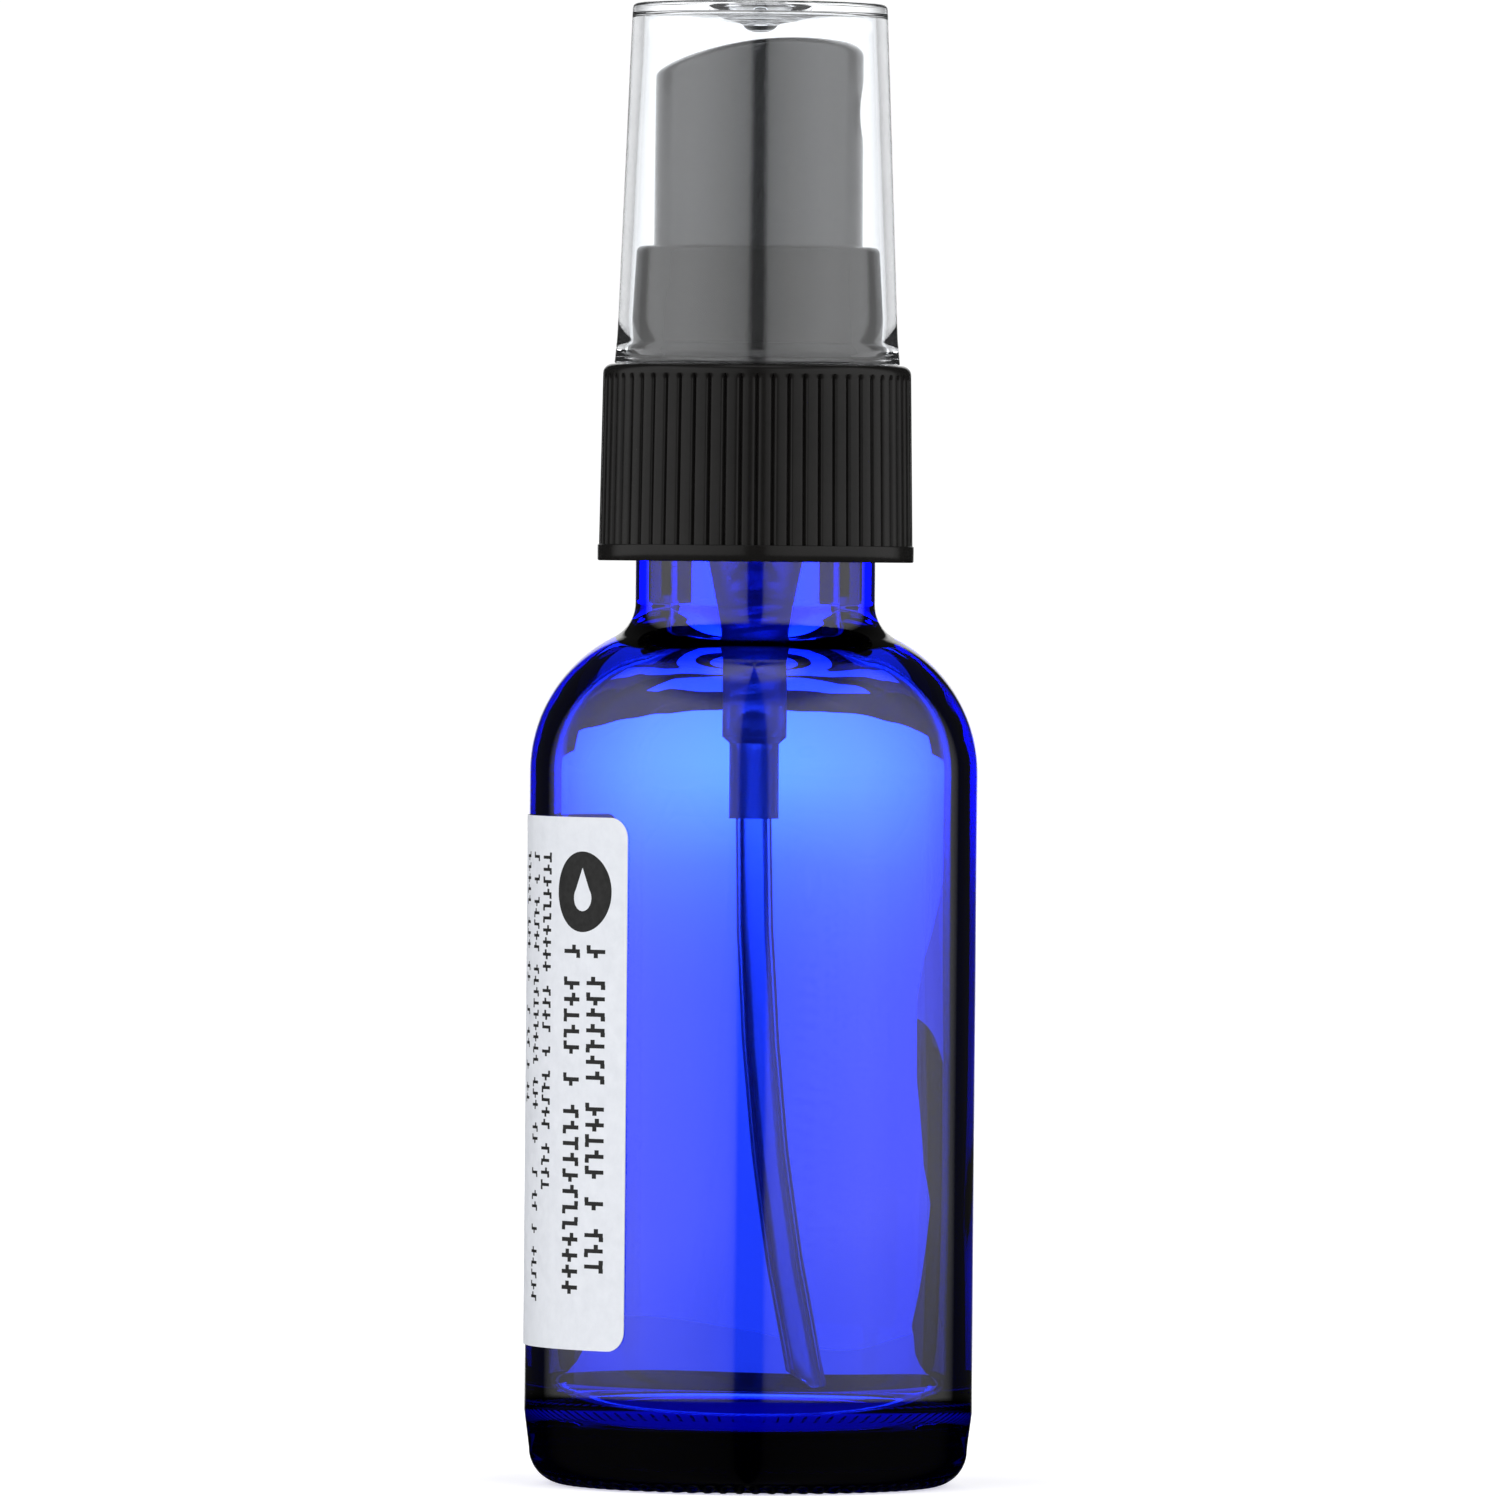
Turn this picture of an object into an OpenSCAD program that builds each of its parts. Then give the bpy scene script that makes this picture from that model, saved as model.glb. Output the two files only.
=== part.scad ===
// Fine-mist atomiser: a round-shouldered glass bottle with a screw-on pump,
// a finger button with a side nozzle, and a clear lift-off overcap.
// The bottle stands on z = 0 with its axis on Z. The nozzle faces +X.

/* [Bottle] */
// Outside diameter of the glass body
body_d = 32.7; // [32.4:0.1:33.4]
// Height of the bare bottle, base to lip
bottle_h = 78.9; // [78:0.1:80]
// Thickness of the side wall
body_wall = 1.75; // [1.5:0.05:2]
// Thickness of glass under the liquid, at the corner of the floor
floor_t = 4.6; // [4:0.1:5.2]
// Outside diameter of the plain neck, under the thread
neck_d = 17.5; // [17.4:0.05:17.6]
// Diameter of the mouth
mouth_d = 12.4; // [12:0.1:12.8]
// Diameter over the thread
thread_d = 19.7; // [19.5:0.05:19.8]
// Rise of the thread in one turn
pitch = 3.175; // [3.1:0.025:3.2]
// Knurls round the bearing ring
knurl_count = 72; // [48:6:84]

/* [Label] */
// Length of the label round the body
label_w = 30; // [26:1:32]
// Height of the label
label_h = 38.6; // [30:0.2:40]
// Corner radius of the label
label_corner = 1.5; // [0.5:0.1:3]

/* [Closure] */
// Diameter over the bottom rim of the ribbed closure
closure_d = 23.1; // [23:0.1:24]
// Height of the ribbed part
closure_h = 14.35; // [14:0.05:14.6]
// Grip ribs round the closure
rib_count = 60; // [48:6:66]

/* [Pump] */
// Travel of the button
stroke = 5; // [4:0.1:5]
// Diameter of the piston bore
bore_d = 5.8; // [5.7:0.05:5.9]
// Turns of spring wire
spring_turns = 7; // [5:1:7]
// Outside diameter of the dip tube
dip_d = 2.7; // [2.5:0.05:2.7]
// Radius of the dip tube's bend
dip_bend = 200; // [180:5:260]

/* [Button] */
// Diameter at the button's skirt
button_d = 15.3; // [15:0.1:15.4]
// Height of the nozzle above the closure's top face
nozzle_rise = 18.45; // [18:0.05:18.6]

/* [Overcap] */
// Outside diameter at the overcap's mouth
cap_d = 20.86; // [20.8:0.02:21]
// Outside diameter at the overcap's top
cap_top_d = 18.64; // [18.6:0.02:19]
// Height of the overcap
cap_h = 26.3; // [26.2:0.1:27]
// Wall of the overcap
cap_wall = 0.85; // [0.8:0.01:0.86]

/* [Hidden] */
$fn = 96;

slack = 0.05;       // gap between faces that only meet
overlap = 0.3;      // how far a thread's root sinks into its wall

// Bottle
body_r = body_d / 2;
neck_r = neck_d / 2;
mouth_r = mouth_d / 2;
wall_in_r = body_r - body_wall;
heel_r = 2.65;                          // round of the heel
bearing_out = 13.35;                    // outer edge of the flat bearing ring
bearing_in = 11.2;                      // inner edge
punt_h = 1.3;                           // rise of the hollow under the base
label_panel_z = 5.4;                    // where the straight wall starts
heel_inset = 0.35;                      // how far the heel stands inside the wall
shoulder_r = 11;                        // round of the shoulder, outside
shoulder_z = bottle_h - 26.9;           // height of its centre
shoulder_c = [body_r - shoulder_r, shoulder_z];
throat_r = 2.8;                         // hollow round from shoulder to neck
throat_in_r = 3.5;                      // the same, inside
floor_rise = 1;                         // how much the floor rises at its middle
floor_corner = 3.2;                     // inside corner round
lip_out_r = 0.8;
lip_in_r = 0.6;

// Thread, shared by the bottle and the closure
thread_r = thread_d / 2;
thread_turn = 420;                      // degrees of thread
thread_end_z = bottle_h - 1.95;         // middle of the last thread, under the lip
thread_start_z = thread_end_z - pitch * thread_turn / 360;
thread_base_w = 2.1;
thread_crest_w = 0.9;
thread_step = 10;
closure_bore_r = 10.15;
closure_thread_r = 9;                   // crest of the closure's own thread
closure_thread_shift = 0.12;            // it bears on the underside of the bottle's thread

// Levels up the neck
gasket_z = bottle_h + slack;
gasket_t = 0.8;
flange_z = gasket_z + gasket_t;
flange_t = 0.9;
deck_z = flange_z + flange_t + 2 * slack;
closure_top = deck_z + 1;
closure_bottom = closure_top - closure_h;
deck_top = closure_top + 0.55;          // the deck is thicker inside the turret
rim_h = 1.2;                            // plain band under the ribs
turret_top = closure_top + 8.6;

// Pump housing
bore_r = bore_d / 2;
tube_r = 3.45;                          // outside of the piston bore's tube
waist_z = flange_z - 12.3;              // bottom of the piston bore
cage_r = 1.42;                          // ball chamber
cage_top = flange_z - 22.6;
seat_r = 0.85;                          // inlet under the ball
seat_z = cage_top - 2.6;
seat_h = 0.8;
chamber_r = 1.9;                        // spring chamber
chamber_top = cage_top + 6.8;
lower_r = 2.4;
socket_r = 1.86;                        // dip tube socket
socket_top = seat_z - 0.7;
socket_bottom = socket_top - 5.2;
ball_r = 1.25;

// Moving column
retainer_top = deck_top + 0.95;
sleeve_z = flange_z - 2.3;              // underside of the retainer's inner sleeve
piston_top = sleeve_z - slack;
piston_h = 3.1;
piston_z = piston_top - piston_h;
stem_r = 1.98;
stem_bore_r = 0.8;
rod_collar_z = cage_top + 8.8;          // where the spring pushes
wire_d = 0.45;
coil_r = 1.4;

// Button
button_r = button_d / 2;
button_top_r = button_r - 0.1;
button_z = retainer_top + stroke + 0.1;
crown_r = 24.5;                         // round of the sloping top
crown_x = 2.9;                          // its highest point
crown_z = closure_top + 23.75;
post_r = 2.9;
socket_end = button_z + 7.2;
nozzle_z = closure_top + nozzle_rise;
dish_r = 2.35;                          // hollow round the nozzle
dish_x = 6.9;
insert_r = 2;
insert_x = 4.9;
pin_r = 1.1;
pin_x = 6.3;

// Overcap
cap_z = closure_top + slack;
cap_top_z = cap_z + cap_h;
dimple_r = 6;
gate_r = 2.5;

// Label
label_r = body_r + 0.02;
label_t = 0.08;
label_z = 10.2;
label_edge_a = 236.6;                   // the edge nearer the front
label_span = label_w / label_r * 180 / PI;

// Points along an arc about c, from angle a0 to a1
function arc(c, r, a0, a1, n = 8) =
    [for (i = [0:n]) let (a = a0 + (a1 - a0) * i / n) [c[0] + r * cos(a), c[1] + r * sin(a)]];

// Centre of a round of radius f that touches the upright line x = x and the circle (c, r) from outside
function blend_centre(c, r, x, f) = [x + f, c[1] + sqrt(pow(r + f, 2) - pow(x + f - c[0], 2))];

// Direction from a to b
function heading(a, b) = atan2(b[1] - a[1], b[0] - a[0]);

// One ring of a sweep about Z: outline points are [radius, height]
function ring(outline, a, z) = [for (p = outline) [p[0] * cos(a), p[0] * sin(a), z + p[1]]];

// Ease from 0 to 1 over the first and last few degrees of a thread
function fade(a, total, run = 30) = min(1, max(0.12, min(a, total - a) / run));

module lathe(outline) rotate_extrude() polygon(outline);

module tube(r_out, r_in, z0, z1) lathe([[r_in, z0], [r_out, z0], [r_out, z1], [r_in, z1]]);

module rod(r, z0, z1) translate([0, 0, z0]) cylinder(r = r, h = z1 - z0);

module rod_x(r, x0, x1, z) translate([x0, 0, z]) rotate([0, 90, 0]) cylinder(r = r, h = x1 - x0);

// A closed solid through a list of rings that all have the same number of points
module sweep(rings) {
    m = len(rings[0]);
    last = (len(rings) - 1) * m;
    sides = [
        for (k = [0:len(rings) - 2], i = [0:m - 1])
        let (a = k * m + i, b = k * m + (i + 1) % m)
        each [[a, b + m, a + m], [a, b, b + m]]
    ];
    caps = [
        for (i = [1:m - 2])
        each [[0, i + 1, i], [last, last + i, last + i + 1]]
    ];
    polyhedron([for (r = rings) each r], concat(sides, caps));
}

// Helical thread with a tapered start and end. Its root is inside the wall, its crest stands out of it.
module thread(root, crest, z0) {
    rings = [
        for (a = [0:thread_step:thread_turn])
        let (
            f = fade(a, thread_turn),
            tip = root + (crest - root) * (0.35 + 0.65 * f),
            base = thread_base_w / 2 * f,
            top = thread_crest_w / 2 * f
        )
        ring([[root, -base], [tip, -top], [tip, top], [root, base]], a, z0 + pitch * a / 360)
    ];
    sweep(crest > root ? rings : [for (r = rings) [for (i = [3:-1:0]) r[i]]]);
}

function bottle_outside() =
    let (
        throat = blend_centre(shoulder_c, shoulder_r, neck_r, throat_r),
        a = heading(shoulder_c, throat)
    )
    concat(
        [for (i = [0:6]) let (r = bearing_in * i / 6) [r, punt_h * (1 - pow(i / 6, 2))]],
        arc([bearing_out, heel_r], heel_r, -90, 0),
        [[body_r, label_panel_z]],
        arc(shoulder_c, shoulder_r, 0, a, 14),
        arc(throat, throat_r, 180 + a, 180, 6),
        arc([neck_r - lip_out_r, bottle_h - lip_out_r], lip_out_r, 0, 90, 5)
    );

function bottle_inside() =
    let (
        in_r = shoulder_r - body_wall,
        throat = blend_centre(shoulder_c, in_r, mouth_r, throat_in_r),
        a = heading(shoulder_c, throat),
        corner_r = wall_in_r - floor_corner
    )
    concat(
        arc([mouth_r + lip_in_r, bottle_h - lip_in_r], lip_in_r, 90, 180, 5),
        arc(throat, throat_in_r, 180, 180 + a, 6),
        arc(shoulder_c, in_r, a, 0, 14),
        arc([corner_r, floor_t + floor_corner], floor_corner, 0, -90, 6),
        [for (i = [5:-1:0]) let (r = corner_r * i / 6) [r, floor_t + floor_rise * (1 - pow(i / 6, 2))]]
    );

module glass_bottle() color("royalblue") {
    difference() {
        lathe(concat(bottle_outside(), bottle_inside()));
        for (i = [0:knurl_count - 1])
            rotate([0, 0, i * 360 / knurl_count]) rod_x(0.28, bearing_out - 0.75, bearing_out + 1.4, 0);
    }
    thread(neck_r - overlap, thread_r, thread_start_z);
}

module paper_label() color("white") {
    corner_a = asin(label_corner / label_r);
    a0 = label_edge_a - label_span;
    difference() {
        rotate([0, 0, a0]) rotate_extrude(angle = label_span)
            translate([label_r, label_z]) square([label_t, label_h]);
        label_corner_cut(a0 + corner_a, label_z + label_corner, 0);
        label_corner_cut(label_edge_a - corner_a, label_z + label_corner, 90);
        label_corner_cut(label_edge_a - corner_a, label_z + label_h - label_corner, 180);
        label_corner_cut(a0 + corner_a, label_z + label_h - label_corner, 270);
    }
}

// What a rounded corner takes off, seen from outside at angle a and height z
module label_corner_cut(a, z, turn) {
    r = label_corner + 0.02;
    rotate([0, 0, a]) translate([label_r - 1, 0, z]) rotate([90, 0, 90]) rotate(turn)
        linear_extrude(2) polygon(concat(arc([0, 0], r, 180, 270, 5), [[0, -3 * r], [-3 * r, -3 * r], [-3 * r, 0]]));
}

module ribs_2d(depth) {
    lobe_r = 0.55;
    circle(r = closure_d / 2 - 0.15 - depth);
    for (i = [0:rib_count - 1])
        rotate(i * 360 / rib_count) translate([closure_d / 2 - 0.15 - lobe_r, 0]) circle(r = lobe_r);
}

module closure() color("dimgray") {
    rim_r = closure_d / 2;
    top_r = rim_r - 0.3;
    edge = 0.7;
    rib_z = closure_bottom + rim_h;
    // ribbed skirt inside a tapered, round-edged envelope
    intersection() {
        translate([0, 0, rib_z]) linear_extrude(closure_top - rib_z) ribs_2d(0.3);
        lathe(concat(
            [[closure_bore_r, rib_z], [rim_r - 0.1, rib_z]],
            arc([top_r - edge, closure_top - edge], edge, 0, 90, 6),
            [[closure_bore_r, closure_top]]
        ));
    }
    // plain rim, deck and turret
    lathe(concat(
        [[closure_bore_r, closure_bottom + 0.3], [closure_bore_r + 0.3, closure_bottom],
         [rim_r - 0.2, closure_bottom], [rim_r, closure_bottom + 0.2], [rim_r, rib_z],
         [closure_bore_r + 0.5, rib_z], [closure_bore_r + 0.5, closure_top],
         [9.45, closure_top], [9.45, closure_top + 0.5], [9.52, closure_top + 0.75],
         [9.45, closure_top + 1], [9.45, closure_top + 1.4], [9.25, closure_top + 1.6]],
        arc([8.43, turret_top - 0.45], 0.45, 0, 90, 5),
        [[8, turret_top], [7.85, turret_top - 0.15], [7.85, deck_top], [5.95, deck_top],
         [5.95, deck_z], [closure_bore_r, deck_z]]
    ));
    thread(closure_bore_r + overlap, closure_thread_r, thread_start_z - pitch / 2 + closure_thread_shift);
}

module neck_gasket() color("whitesmoke") tube(8.5, 3.6, gasket_z, flange_z);

module pump_housing() color("aliceblue") {
    cup_top = retainer_top - 0.75;
    difference() {
        lathe([
            [dip_d / 2 + 0.01, socket_bottom], [socket_r, socket_bottom], [socket_r, seat_z - 0.3],
            [lower_r, seat_z + 0.2], [lower_r, chamber_top - 3], [2.75, chamber_top],
            [tube_r, waist_z], [tube_r, flange_z], [8.9, flange_z], [8.9, flange_z + flange_t],
            [5.4, flange_z + flange_t], [5.4, cup_top], [4.2, cup_top], [4.2, flange_z + flange_t],
            [bore_r, flange_z + flange_t], [bore_r, waist_z], [chamber_r, chamber_top],
            [chamber_r, cage_top], [cage_r, cage_top], [cage_r, seat_z + seat_h], [seat_r, seat_z],
            [seat_r, socket_top], [dip_d / 2 + 0.01, socket_top],
        ]);
        // air vent into the bottle
        rod_x(0.35, 0, tube_r + 1, flange_z - 1.2);
    }
}

module retainer_ring() color("gainsboro") {
    bore = stem_r + 0.07;
    lathe([
        [bore, sleeve_z], [bore_r - 0.03, sleeve_z], [bore_r - 0.03, flange_z + flange_t],
        [4.18, flange_z + flange_t], [4.18, retainer_top - 0.75], [6.6, retainer_top - 0.75],
        [6.6, retainer_top - 0.2], [6.4, retainer_top], [bore, retainer_top],
    ]);
}

module check_ball() color("silver") {
    slope = atan((cage_r - seat_r) / seat_h);
    rest = seat_z + (ball_r / cos(slope) - seat_r) * seat_h / (cage_r - seat_r);
    translate([0, 0, rest + 0.03]) sphere(r = ball_r);
}

module return_spring() color("silver") {
    sides = 6;
    length = rod_collar_z - cage_top - wire_d;
    step = 24;
    flat_turns = 0.8;
    total = spring_turns * 360;
    rings = [
        for (a = [0:step:total])
        let (
            t = min(1, max(0, (a / 360 - flat_turns) / (spring_turns - 2 * flat_turns))),
            z = cage_top + wire_d / 2 + (length - 2 * wire_d) * t
                + wire_d * (min(1, a / 360 / flat_turns) + max(0, (a - total) / 360 / flat_turns + 1))
        )
        ring([for (i = [0:sides - 1]) [coil_r + wire_d / 2 * cos(i * 60), wire_d / 2 * sin(i * 60)]], a, z)
    ];
    sweep(rings);
}

module valve_rod() color("white") {
    shoulder = piston_z - slack;
    lathe([
        [0, rod_collar_z - 1.5], [0.9, rod_collar_z - 1.5], [1.05, rod_collar_z - 1.3],
        [1.05, rod_collar_z], [1.7, rod_collar_z], [1.7, rod_collar_z + 0.8],
        [1.3, rod_collar_z + 1.1], [1.3, shoulder - 1.1], [1.6, shoulder - 0.7],
        [1.6, shoulder - 0.35], [0.95, shoulder], [0.6, shoulder], [0.6, shoulder + 2.2],
        [0.35, shoulder + 2.6], [0, shoulder + 2.6],
    ]);
}

module piston() color("ivory") {
    seal_r = bore_r - 0.05;
    lathe([
        [1.15, piston_z], [1.9, piston_z], [2.1, piston_z + 0.5], [2.55, piston_z - 0.25],
        [seal_r, piston_z - 0.25], [seal_r, piston_z + 0.25], [2.45, piston_z + 0.9],
        [2.45, piston_top - 0.9], [seal_r, piston_top - 0.3], [seal_r, piston_top],
        [1.6, piston_top], [1.6, piston_z + 1.2], [1.15, piston_z + 1.2],
    ]);
}

module stem() color("gainsboro") {
    spigot = 1.57;
    lathe([
        [stem_bore_r, piston_z + 1.25], [spigot, piston_z + 1.25], [spigot, piston_top + slack],
        [stem_r, piston_top + slack], [stem_r, socket_end - 0.4], [stem_r - 0.3, socket_end - 0.1],
        [stem_bore_r, socket_end - 0.1],
    ]);
}

// Straight in the housing's socket, then one long bend to a slanting cut near the floor
module dip_tube() color("lightcyan") {
    r = dip_d / 2;
    bore = 0.8;
    drop = socket_bottom - floor_t - floor_rise - 1.6;
    bend_a = asin(drop / (dip_bend - r));
    tube(r, bore, socket_bottom, socket_top - slack);
    difference() {
        translate([dip_bend, 0, socket_bottom]) rotate([90, 0, 0])
            rotate_extrude(angle = bend_a, start = 180) translate([dip_bend, 0]) difference() {
                circle(r = r);
                circle(r = bore);
            }
        translate([dip_bend * (1 - cos(bend_a)), 0, floor_t + floor_rise + 1.6])
            rotate([0, 35, 0]) translate([-5, -5, -10]) cube([10, 10, 10]);
    }
}

// Everything under the button's sloping top, grown or shrunk by gap
module under_crown(gap)
    translate([crown_x, 25, crown_z - crown_r]) rotate([90, 0, 0]) cylinder(r = crown_r - gap, h = 50);

module button() color("dimgray") {
    top = crown_z + 1;
    difference() {
        union() {
            difference() {
                intersection() {
                    translate([0, 0, button_z]) cylinder(r1 = button_r, r2 = button_top_r, h = top - button_z);
                    under_crown(0);
                }
                intersection() {
                    rod(button_top_r - 1, button_z - 1, top);
                    under_crown(1.3);
                }
            }
            rod(post_r, button_z, socket_end + 3);
            intersection() {
                rod_x(3.4, -1, button_r, nozzle_z);
                rod(button_top_r - 0.5, button_z, top);
            }
            // web that ties the post and the nozzle boss to the roof
            intersection() {
                translate([-1, -0.6, socket_end]) cube([2, 1.2, top - socket_end]);
                under_crown(0.6);
            }
        }
        rod(stem_r + 0.02, button_z - 1, socket_end);
        rod(stem_bore_r, socket_end - 1, nozzle_z);
        rod_x(0.6, 0, insert_x, nozzle_z);
        difference() {
            rod_x(insert_r + 0.01, insert_x, button_r + 1, nozzle_z);
            rod_x(pin_r, insert_x - 1, pin_x, nozzle_z);
        }
        rod_x(dish_r, dish_x, button_r + 1, nozzle_z);
    }
}

module nozzle_insert() color("black") {
    face_x = dish_x - 0.05;
    translate([0, 0, nozzle_z]) rotate([0, 90, 0]) difference() {
        translate([0, 0, insert_x + 0.25]) cylinder(r = insert_r, h = face_x - insert_x - 0.25);
        translate([0, 0, insert_x]) cylinder(r = pin_r + 0.15, h = pin_x + 0.1 - insert_x);
        translate([0, 0, insert_x]) cylinder(r = 0.15, h = 3);
        translate([0, 0, face_x - 0.3]) cylinder(r1 = 0.2, r2 = 0.8, h = 0.31);
    }
}

module overcap() color("white", 0.3) {
    r0 = cap_d / 2;
    r1 = cap_top_d / 2;
    edge = 0.35;
    flare = 0.15;
    inner_top = cap_top_z - 0.75;
    lathe(concat(
        [[r0 - cap_wall, cap_z], [r0 - 0.1, cap_z], [r0, cap_z + 0.1], [r0 - flare, cap_z + 1.8]],
        arc([r1 - edge, cap_top_z - edge], edge, 0, 90, 4),
        [[dimple_r, cap_top_z], [gate_r, cap_top_z - 0.45], [gate_r - 0.3, cap_top_z - 0.9],
         [0.5, cap_top_z - 0.9], [0.4, cap_top_z - 0.7], [0, cap_top_z - 0.7],
         [0, cap_top_z - 2.1], [1.4, cap_top_z - 2], [gate_r, cap_top_z - 1.5],
         [dimple_r, inner_top]],
        arc([r1 - cap_wall - edge, inner_top - edge], edge, 90, 0, 4),
        [[r0 - cap_wall - 0.02, cap_z + 1.6], [r0 - cap_wall + 0.08, cap_z + 1.4],
         [r0 - cap_wall + 0.08, cap_z + 0.5], [r0 - cap_wall, cap_z + 0.3]]
    ));
}

glass_bottle();
paper_label();
closure();
neck_gasket();
pump_housing();
retainer_ring();
check_ball();
return_spring();
valve_rod();
piston();
stem();
dip_tube();
button();
nozzle_insert();
overcap();
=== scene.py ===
"""Fine-mist atomiser: blue glass bottle, black ribbed closure, slant-topped button and a clear overcap."""
import math

import bmesh
import bpy
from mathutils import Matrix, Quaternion, Vector, noise


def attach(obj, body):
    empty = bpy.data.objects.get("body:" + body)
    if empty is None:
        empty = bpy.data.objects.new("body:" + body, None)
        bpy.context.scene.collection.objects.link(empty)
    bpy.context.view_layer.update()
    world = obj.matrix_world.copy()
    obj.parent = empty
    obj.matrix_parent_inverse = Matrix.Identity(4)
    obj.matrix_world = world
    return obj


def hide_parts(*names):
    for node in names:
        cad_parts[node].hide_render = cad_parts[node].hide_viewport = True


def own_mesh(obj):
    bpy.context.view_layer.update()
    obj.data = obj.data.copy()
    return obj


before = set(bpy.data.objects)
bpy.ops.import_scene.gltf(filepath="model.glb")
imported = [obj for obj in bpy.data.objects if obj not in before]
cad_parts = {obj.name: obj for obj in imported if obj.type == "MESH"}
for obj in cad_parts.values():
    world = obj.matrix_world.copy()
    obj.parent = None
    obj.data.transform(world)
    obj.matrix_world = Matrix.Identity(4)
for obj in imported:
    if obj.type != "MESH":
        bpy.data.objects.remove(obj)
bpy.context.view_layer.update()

MM = 0.001
TAU = 2 * math.pi
scene = bpy.context.scene
scene.view_settings.view_transform = "Standard"

# ---------------------------------------------------------------- camera
CAM_DISTANCE = 1.29
CAM_HEIGHT = 0.068
VIEW_WIDTH = 0.10934
AIM = Vector((-0.00036, 0.0, 0.05372))
ROLL = math.radians(0.5)

cam_data = bpy.data.cameras.new("camera")
camera = bpy.data.objects.new("camera", cam_data)
scene.collection.objects.link(camera)
cam_data.sensor_width = 36.0
cam_data.lens = 36.0 * CAM_DISTANCE / VIEW_WIDTH
cam_data.clip_start, cam_data.clip_end = 0.05, 20.0
camera.location = (AIM.x, -CAM_DISTANCE, CAM_HEIGHT)
camera.rotation_mode = "QUATERNION"
look = (AIM - camera.location).to_track_quat("-Z", "Y")
camera.rotation_quaternion = look @ Quaternion((0, 0, 1), ROLL)
scene.camera = camera


# ---------------------------------------------------------------- node helpers
class Look:
    """A material with a Principled shader and short names for the nodes that drive it."""

    def __init__(self, name):
        self.mat = bpy.data.materials.new(name)
        self.mat.use_nodes = True
        self.tree = self.mat.node_tree
        self.bsdf = self.tree.nodes["Principled BSDF"]
        self.out = self.tree.nodes["Material Output"]
        self.coord = self.tree.nodes.new("ShaderNodeTexCoord")

    def new(self, kind, **props):
        node = self.tree.nodes.new(kind)
        for key, value in props.items():
            setattr(node, key, value)
        return node

    def join(self, a, b):
        self.tree.links.new(a, b)

    def put(self, socket, value):
        """Links a socket or sets a constant."""
        if hasattr(value, "is_linked"):
            self.join(value, socket)
        else:
            socket.default_value = value

    def set(self, **values):
        for key, value in values.items():
            self.put(self.bsdf.inputs[key.replace("_", " ")], value)

    def math(self, op, a, b=0.0, c=0.0, clamp=False):
        node = self.new("ShaderNodeMath", operation=op, use_clamp=clamp)
        for socket, value in zip(node.inputs, (a, b, c)):
            self.put(socket, value)
        return node.outputs[0]

    def stretched(self, sx, sy, sz):
        node = self.new("ShaderNodeMapping")
        self.join(self.coord.outputs["Object"], node.inputs["Vector"])
        node.inputs["Scale"].default_value = (sx, sy, sz)
        return node.outputs[0]

    def noise(self, scale, detail=3.0, roughness=0.5, vector=None, distortion=0.0):
        node = self.new("ShaderNodeTexNoise")
        self.join(vector or self.coord.outputs["Object"], node.inputs["Vector"])
        node.inputs["Scale"].default_value = scale
        node.inputs["Detail"].default_value = detail
        node.inputs["Roughness"].default_value = roughness
        node.inputs["Distortion"].default_value = distortion
        return node.outputs["Fac"]

    def remap(self, value, lo, hi, out_lo, out_hi):
        node = self.new("ShaderNodeMapRange")
        for socket, v in zip(node.inputs, (value, lo, hi, out_lo, out_hi)):
            self.put(socket, v)
        return node.outputs[0]

    def ramp(self, fac, stops):
        node = self.new("ShaderNodeValToRGB")
        self.join(fac, node.inputs["Fac"])
        line = node.color_ramp
        while len(line.elements) < len(stops):
            line.elements.new(0.5)
        for element, (at, colour) in zip(line.elements, stops):
            element.position = at
            element.color = (*colour, 1.0)
        return node.outputs["Color"]

    def mix(self, fac, a, b):
        node = self.new("ShaderNodeMix", data_type="RGBA")
        for index, value in ((0, fac), (6, a), (7, b)):
            self.put(node.inputs[index], value)
        return node.outputs[2]

    def bump(self, height, distance, strength=1.0):
        node = self.new("ShaderNodeBump")
        self.join(height, node.inputs["Height"])
        node.inputs["Distance"].default_value = distance
        node.inputs["Strength"].default_value = strength
        self.join(node.outputs[0], self.bsdf.inputs["Normal"])


# ---------------------------------------------------------------- mesh helpers
def arc(cr, cz, r, a0, a1, n):
    """Points on a round about (cr, cz), from angle a0 to a1 in degrees."""
    steps = [math.radians(a0 + (a1 - a0) * i / n) for i in range(n + 1)]
    return [(cr + r * math.cos(a), cz + r * math.sin(a)) for a in steps]


def line(p, q, step):
    """Points from p towards q, a step apart, without q."""
    n = max(1, round(math.dist(p, q) / step))
    return [(p[0] + (q[0] - p[0]) * i / n, p[1] + (q[1] - p[1]) * i / n) for i in range(n)]


def smooth(x):
    x = min(1.0, max(0.0, x))
    return x * x * (3 - 2 * x)


def build(name, verts, faces, sharp=32.0):
    """A smooth-shaded object with outward normals."""
    mesh = bpy.data.meshes.new(name)
    mesh.from_pydata(verts, [], faces)
    bm = bmesh.new()
    bm.from_mesh(mesh)
    bmesh.ops.recalc_face_normals(bm, faces=bm.faces)
    bm.to_mesh(mesh)
    bm.free()
    mesh.shade_smooth()
    mesh.set_sharp_from_angle(angle=math.radians(sharp))
    obj = bpy.data.objects.new(name, mesh)
    scene.collection.objects.link(obj)
    return obj


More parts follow.
